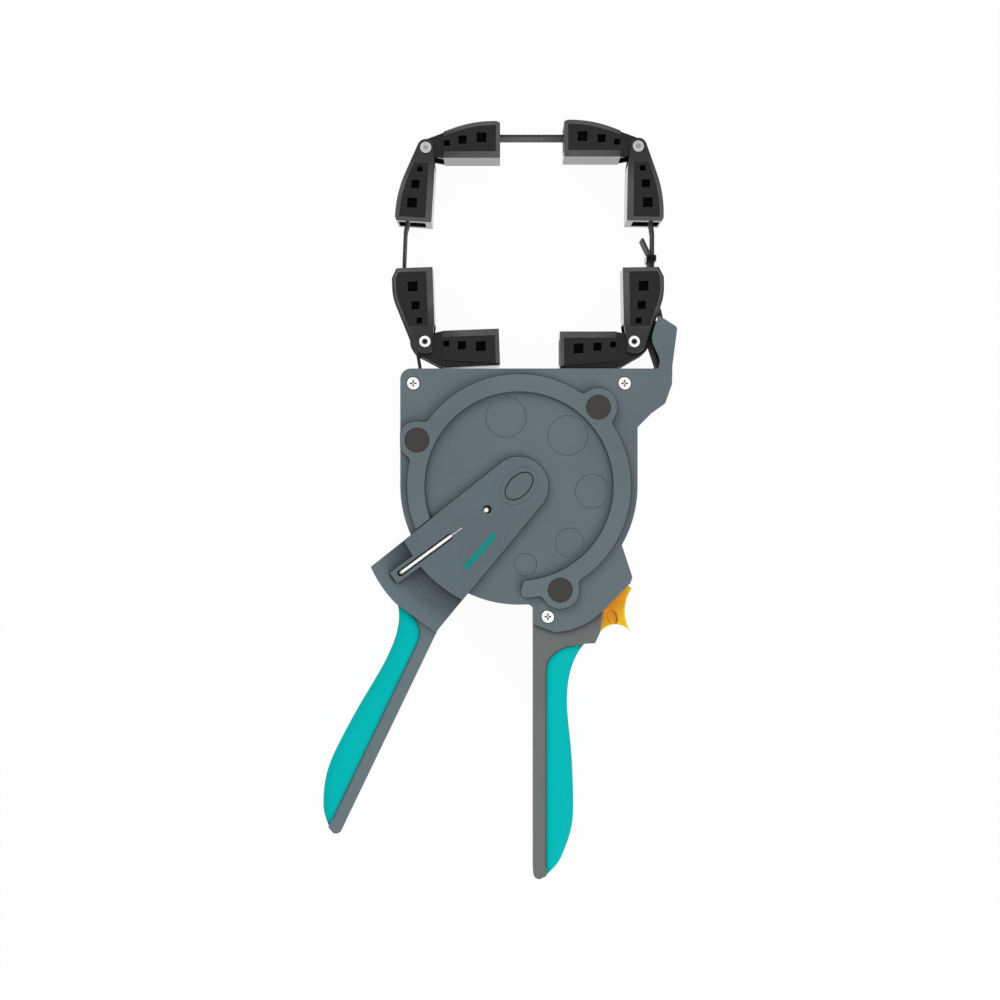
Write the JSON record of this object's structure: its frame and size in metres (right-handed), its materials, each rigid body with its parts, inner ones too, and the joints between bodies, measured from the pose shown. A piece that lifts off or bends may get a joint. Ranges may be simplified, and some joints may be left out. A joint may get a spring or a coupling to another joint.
{
  "type": "strap clamp",
  "caption": "One-hand ratchet strap clamp: a flat drum housing with two grips and a band loop that presses hinged corner jaws round a frame.",
  "frame": {"origin": "drum axis in the plane of the back cover's raised ring, on which the tool lies", "axes": "+Z along the drum axis out of the front, +Y from the handles towards the corner jaws, +X to the right seen from the front"},
  "size_m": [0.164, 0.3516, 0.0366],
  "materials": {
    "housing_plastic": "fine matte texture",
    "lever_plastic": "fine matte texture",
    "handle_plastic": "fine matte texture",
    "plug_plastic": "matte",
    "grip_rubber": "soft satin",
    "trigger_plastic": "semi gloss",
    "jaw_plastic": "matte",
    "strap_webbing": "woven nylon",
    "keeper_plastic": "matte",
    "bright_steel": "bright zinc",
    "dark_steel": "plain",
    "spool_plastic": "plain"
  },
  "bodies": {
    "housing": {"front_cover": "housing_plastic", "back_cover": "housing_plastic", "front_plugs": "plug_plastic", "back_plugs": "plug_plastic", "cover_screws": "bright_steel", "pivot_axle": "dark_steel", "thrust_washers": "spool_plastic", "lever_return_spring": "dark_steel", "holding_pawl_pin": "dark_steel", "fixed_handle": "handle_plastic", "fixed_grip": "grip_rubber", "trigger_spring": "dark_steel", "strap_lead": "strap_webbing", "strap_anchor_loop": "strap_webbing", "strap_anchor_pin": "dark_steel", "strap_keeper": "keeper_plastic"},
    "lever": {"lever_front_half": "lever_plastic", "lever_back_half": "lever_plastic", "lever_screws": "bright_steel", "lever_grip": "grip_rubber", "front_hub_cap": "lever_plastic", "back_hub_cap": "lever_plastic", "drive_pawl_spring": "bright_steel", "drive_pawl_pin": "dark_steel"},
    "drive_pawl": {"drive_pawl": "dark_steel"},
    "drum": {"drum_spool": "spool_plastic", "front_ratchet_wheel": "dark_steel", "back_ratchet_wheel": "dark_steel", "strap_coil": "strap_webbing"},
    "release": {"holding_pawl": "dark_steel", "release_trigger": "trigger_plastic"},
    "top_bridge": {"strap_left_run": "strap_webbing", "strap_top_run": "strap_webbing", "strap_right_run": "strap_webbing", "upper_left_top_arm": "jaw_plastic", "upper_right_top_arm": "jaw_plastic", "upper_jaw_rivets": "bright_steel"},
    "upper_left_side": {"upper_left_side_arm": "jaw_plastic"},
    "upper_right_side": {"upper_right_side_arm": "jaw_plastic"},
    "lower_left_jaw": {"lower_left_side_arm": "jaw_plastic", "lower_left_rivet": "bright_steel"},
    "lower_left_base": {"lower_left_base_arm": "jaw_plastic"},
    "lower_right_jaw": {"lower_right_side_arm": "jaw_plastic", "lower_right_rivet": "bright_steel"},
    "lower_right_base": {"lower_right_base_arm": "jaw_plastic"}
  },
  "joints": [
    {"name": "lever_hinge", "type": "hinge", "parent": "housing", "child": "lever", "pos_m": [0, 0, 0.0183], "axis": [0, 0, 1], "range_deg": [0, 24], "stiffness_Nm_per_rad": 0.05},
    {"name": "drive_pawl_hinge", "type": "hinge", "parent": "lever", "child": "drive_pawl", "pos_m": [-0.04605, -0.03689, 0.0183], "axis": [0, 0, 1], "range_deg": [0, 6]},
    {"name": "drum_spin", "type": "hinge", "parent": "housing", "child": "drum", "pos_m": [0, 0, 0.0183], "axis": [0, 0, 1], "range_deg": [-60, 12]},
    {"name": "release_hinge", "type": "hinge", "parent": "housing", "child": "release", "pos_m": [0.04233, -0.0359, 0.0183], "axis": [0, 0, 1], "range_deg": [0, 7.5]},
    {"name": "bridge_slide", "type": "slide", "parent": "housing", "child": "top_bridge", "axis": [0, 1, 0], "range_m": [-0.0045, 0.021]},
    {"name": "upper_left_hinge", "type": "hinge", "parent": "top_bridge", "child": "upper_left_side", "pos_m": [-0.0431, 0.1567, 0.0183], "axis": [0, 0, 1], "range_deg": [-10, 4]},
    {"name": "upper_right_hinge", "type": "hinge", "parent": "top_bridge", "child": "upper_right_side", "pos_m": [0.0553, 0.1573, 0.0183], "axis": [0, 0, 1], "range_deg": [-4, 10]},
    {"name": "lower_left_slide", "type": "slide", "parent": "housing", "child": "lower_left_jaw", "axis": [-0.163, 0.9866, 0], "range_m": [0, 0.005]},
    {"name": "lower_right_slide", "type": "slide", "parent": "housing", "child": "lower_right_jaw", "axis": [-0.158, 0.9874, 0], "range_m": [0, 0.003]},
    {"name": "lower_left_hinge", "type": "hinge", "parent": "lower_left_jaw", "child": "lower_left_base", "pos_m": [-0.0435, 0.0669, 0.0183], "axis": [0, 0, 1], "range_deg": [0, 25]},
    {"name": "lower_right_hinge", "type": "hinge", "parent": "lower_right_jaw", "child": "lower_right_base", "pos_m": [0.0534, 0.0669, 0.0183], "axis": [0, 0, 1], "range_deg": [-25, 0]}
  ],
  "couplings": [
    {"joint": "bridge_slide", "follows": "drum_spin", "m_per_rad": -0.0195}
  ]
}
